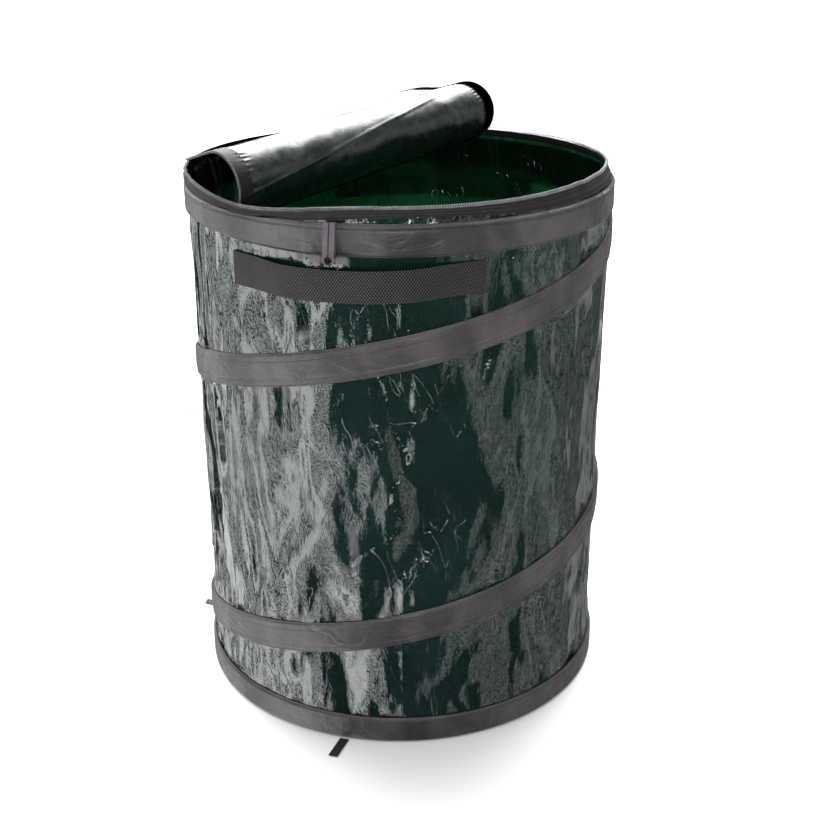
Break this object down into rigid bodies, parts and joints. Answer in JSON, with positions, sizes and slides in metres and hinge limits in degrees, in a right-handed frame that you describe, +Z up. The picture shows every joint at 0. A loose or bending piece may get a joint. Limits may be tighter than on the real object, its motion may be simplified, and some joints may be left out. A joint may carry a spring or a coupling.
{
  "type": "collapsible trash can",
  "caption": "Round pop-up bin: tarp wall on a coiled spring, zipped lid rolled half open, webbing handles, and toggles and loops that hold it folded.",
  "frame": {"origin": "centre of the floor panel's underside, on the can's vertical axis", "axes": "+Z up along the can's axis; -Y towards the viewer of the picture, +X to the viewer's right"},
  "size_m": [0.5088, 0.535, 0.6685],
  "materials": {
    "tarp": "glossy dark green laminated woven sheet",
    "casing": "satin charcoal woven casing",
    "wire": "drawn spring wire",
    "zipper": "black woven zipper tape and nylon coil",
    "webbing": "black ribbed webbing",
    "toggle": "dark moulded plastic",
    "slider": "dark enamelled metal"
  },
  "bodies": {
    "root": {"floor_panel": "tarp", "base_casing": "casing", "tarp_wall_1": "tarp", "wall_seam": "tarp", "spring_wire": "wire", "spiral_casing": "casing"},
    "wall_2": {"tarp_wall_2": "tarp"},
    "wall_3": {"tarp_wall_3": "tarp"},
    "wall_4": {"tarp_wall_4": "tarp"},
    "wall_5": {"tarp_wall_5": "tarp"},
    "wall_6": {"tarp_wall_6": "tarp"},
    "rim": {"tarp_wall_7": "tarp", "rim_casing": "casing", "zip_tape": "zipper", "zip_coil": "zipper", "lid_hinge_panel": "tarp", "lid_hinge_tape": "zipper", "handle_front": "webbing", "handle_rear": "webbing"},
    "lid_arch_1": {"lid_arch_1": "tarp", "lid_tape_arch_1_left": "zipper", "lid_tape_arch_1_right": "zipper"},
    "lid_arch_2": {"lid_arch_2": "tarp", "lid_tape_arch_2_left": "zipper", "lid_tape_arch_2_right": "zipper"},
    "lid_curl_1": {"lid_curl_1": "tarp", "lid_tape_curl_1_left": "zipper", "lid_tape_curl_1_right": "zipper"},
    "lid_curl_2": {"lid_curl_2": "tarp", "lid_tape_curl_2_left": "zipper", "lid_tape_curl_2_right": "zipper"},
    "lid_curl_3": {"lid_curl_3": "tarp", "lid_tape_curl_3_left": "zipper", "lid_tape_curl_3_right": "zipper"},
    "lid_curl_4": {"lid_curl_4": "tarp", "lid_tape_curl_4_left": "zipper", "lid_tape_curl_4_right": "zipper"},
    "lid_tail": {"lid_tail": "tarp", "lid_tape_tail": "zipper"},
    "slider": {"zip_slider": "slider", "slider_bridge": "slider"},
    "pull": {"zip_pull": "slider"},
    "toggle_front": {"toggle_ribbon_front_1": "webbing", "toggle_ribbon_front_2": "webbing", "toggle_bar_front": "toggle"},
    "toggle_left": {"toggle_ribbon_left_1": "webbing", "toggle_ribbon_left_2": "webbing", "toggle_bar_left": "toggle"},
    "toggle_rear": {"toggle_ribbon_rear_1": "webbing", "toggle_ribbon_rear_2": "webbing", "toggle_bar_rear": "toggle"},
    "base_loop_front": {"base_loop_front": "webbing"},
    "base_loop_left": {"base_loop_left": "webbing"},
    "base_loop_rear": {"base_loop_rear": "webbing"}
  },
  "joints": [
    {"name": "collapse", "type": "slide", "parent": "root", "child": "rim", "axis": [0, 0, -1], "range_m": [0, 0.505], "stiffness_N_per_m": 60, "springref_m": -0.2, "deforming": ["spring_wire", "spiral_casing", "wall_seam", "tarp_wall_1", "tarp_wall_2", "tarp_wall_3", "tarp_wall_4", "tarp_wall_5", "tarp_wall_6", "tarp_wall_7", "handle_front", "handle_rear"]},
    {"name": "wall_2_sink", "type": "slide", "parent": "root", "child": "wall_2", "axis": [0, 0, -1], "range_m": [0, 0.08427]},
    {"name": "wall_3_sink", "type": "slide", "parent": "root", "child": "wall_3", "axis": [0, 0, -1], "range_m": [0, 0.16843]},
    {"name": "wall_4_sink", "type": "slide", "parent": "root", "child": "wall_4", "axis": [0, 0, -1], "range_m": [0, 0.2526]},
    {"name": "wall_5_sink", "type": "slide", "parent": "root", "child": "wall_5", "axis": [0, 0, -1], "range_m": [0, 0.33677]},
    {"name": "wall_6_sink", "type": "slide", "parent": "root", "child": "wall_6", "axis": [0, 0, -1], "range_m": [0, 0.42093]},
    {"name": "lid_swing", "type": "hinge", "parent": "rim", "child": "lid_arch_1", "pos_m": [-0.17206, 0.10962, 0.6105], "axis": [-0.5373, -0.8434, 0], "range_deg": [-20, 140]},
    {"name": "lid_arch_2_roll", "type": "hinge", "parent": "lid_arch_1", "child": "lid_arch_2", "pos_m": [-0.11697, 0.07452, 0.63278], "axis": [-0.6903, -0.72, -0.0711], "range_deg": [0, 3.01]},
    {"name": "lid_roll", "type": "hinge", "parent": "lid_arch_2", "child": "lid_curl_1", "pos_m": [-0.04762, 0.03037, 0.65802], "axis": [-0.6157, -0.7869, -0.0409], "range_deg": [0, 35]},
    {"name": "lid_curl_2_roll", "type": "hinge", "parent": "lid_curl_1", "child": "lid_curl_2", "pos_m": [-0.03006, 0.01982, 0.65148], "axis": [-0.6157, -0.7869, -0.0409], "range_deg": [0, 35.01]},
    {"name": "lid_curl_3_roll", "type": "hinge", "parent": "lid_curl_2", "child": "lid_curl_3", "pos_m": [-0.01813, 0.01423, 0.6345], "axis": [-0.6157, -0.7869, -0.0409], "range_deg": [0, 35.01]},
    {"name": "lid_curl_4_roll", "type": "hinge", "parent": "lid_curl_3", "child": "lid_curl_4", "pos_m": [-0.01564, 0.01624, 0.61323], "axis": [-0.6157, -0.7869, -0.0409], "range_deg": [0, 35.01]},
    {"name": "lid_tail_roll", "type": "hinge", "parent": "lid_curl_4", "child": "lid_tail", "pos_m": [-0.023, 0.02578, 0.59542], "axis": [-0.6157, -0.7869, -0.0409], "range_deg": [0, 35.01]},
    {"name": "slider_travel", "type": "hinge", "parent": "rim", "child": "slider", "pos_m": [0, 0, 0.6085], "axis": [0, 0, 1], "range_deg": [-289, 0]},
    {"name": "pull_flip", "type": "hinge", "parent": "slider", "child": "pull", "pos_m": [-0.0842, 0.21934, 0.6143], "axis": [0.3584, -0.9336, 0], "range_deg": [0, 180]},
    {"name": "toggle_front_swing", "type": "hinge", "parent": "rim", "child": "toggle_front", "pos_m": [-0.06602, -0.23022, 0.59525], "axis": [-0.9613, 0.2756, 0], "range_deg": [0, 90]},
    {"name": "toggle_left_swing", "type": "hinge", "parent": "rim", "child": "toggle_left", "pos_m": [-0.23022, 0.06602, 0.59525], "axis": [0.2756, 0.9613, 0], "range_deg": [0, 90]},
    {"name": "toggle_rear_swing", "type": "hinge", "parent": "rim", "child": "toggle_rear", "pos_m": [0.06602, 0.23022, 0.59525], "axis": [0.9613, -0.2756, 0], "range_deg": [0, 90]},
    {"name": "base_loop_front_swing", "type": "hinge", "parent": "root", "child": "base_loop_front", "pos_m": [-0.0667, -0.23262, 0.0006], "axis": [-0.9613, 0.2756, 0], "range_deg": [0, 90]},
    {"name": "base_loop_left_swing", "type": "hinge", "parent": "root", "child": "base_loop_left", "pos_m": [-0.23262, 0.0667, 0.0006], "axis": [0.2756, 0.9613, 0], "range_deg": [0, 90]},
    {"name": "base_loop_rear_swing", "type": "hinge", "parent": "root", "child": "base_loop_rear", "pos_m": [0.0667, 0.23262, 0.0006], "axis": [0.9613, -0.2756, 0], "range_deg": [0, 90]}
  ],
  "couplings": [
    {"joint": "wall_2_sink", "follows": "collapse", "ratio": 0.16667},
    {"joint": "wall_3_sink", "follows": "collapse", "ratio": 0.33333},
    {"joint": "wall_4_sink", "follows": "collapse", "ratio": 0.5},
    {"joint": "wall_5_sink", "follows": "collapse", "ratio": 0.66667},
    {"joint": "wall_6_sink", "follows": "collapse", "ratio": 0.83333},
    {"joint": "lid_arch_2_roll", "follows": "lid_roll", "ratio": 0.085714},
    {"joint": "lid_curl_2_roll", "follows": "lid_roll", "ratio": 1},
    {"joint": "lid_curl_3_roll", "follows": "lid_roll", "ratio": 1},
    {"joint": "lid_curl_4_roll", "follows": "lid_roll", "ratio": 1},
    {"joint": "lid_tail_roll", "follows": "lid_roll", "ratio": 1}
  ]
}
